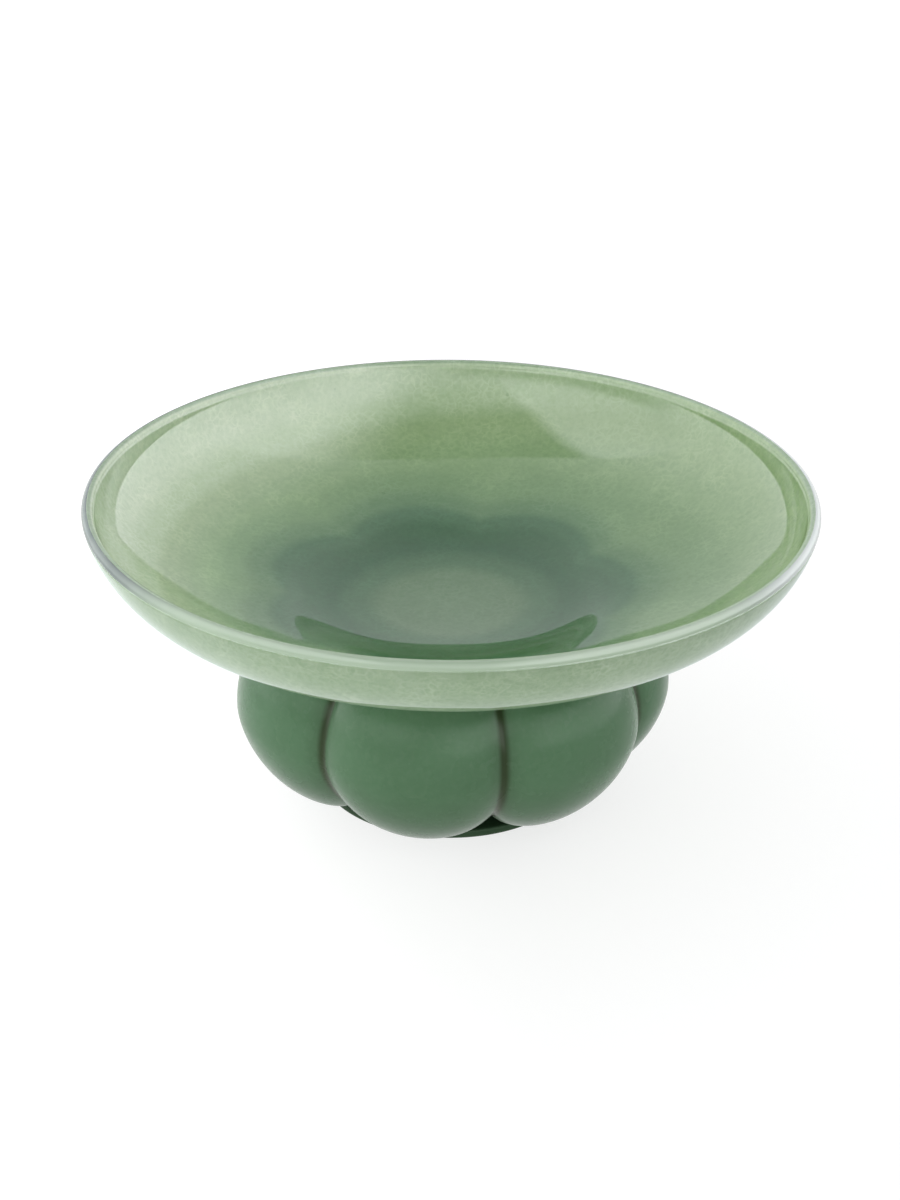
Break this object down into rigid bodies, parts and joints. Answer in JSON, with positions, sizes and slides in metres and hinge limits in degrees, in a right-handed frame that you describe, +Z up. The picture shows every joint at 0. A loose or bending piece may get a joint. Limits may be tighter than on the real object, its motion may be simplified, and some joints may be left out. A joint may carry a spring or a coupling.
{
  "type": "footed art glass bowl",
  "caption": "Wide, shallow bowl of pale green opal glass cased in clear glass, on a hollow lobed foot of darker green glass with a flat base.",
  "frame": {"origin": "centre of the base disc's underside, on the surface the bowl stands on", "axes": "+Z up along the bowl's axis; -Y is the front, and +X is to the right seen from the front"},
  "size_m": [0.3, 0.3, 0.133],
  "materials": {
    "clear_glass": "fire-polished clear glass, high gloss",
    "pale_green_opal_glass": "translucent pastel green opal glass with a fine mottle, glossy",
    "bond": "thin clear film between bowl and foot",
    "dark_green_opal_glass": "dense moss green opal glass, mould-blown, high gloss",
    "dark_green_base_glass": "dark green glass, ground flat underneath"
  },
  "bodies": {
    "root": {"bowl_clear_casing": "clear_glass", "bowl_colour_layer": "pale_green_opal_glass", "bowl_to_foot_bond": "bond", "foot_lobed_body": "dark_green_opal_glass", "foot_base_disc": "dark_green_base_glass"}
  },
  "joints": []
}
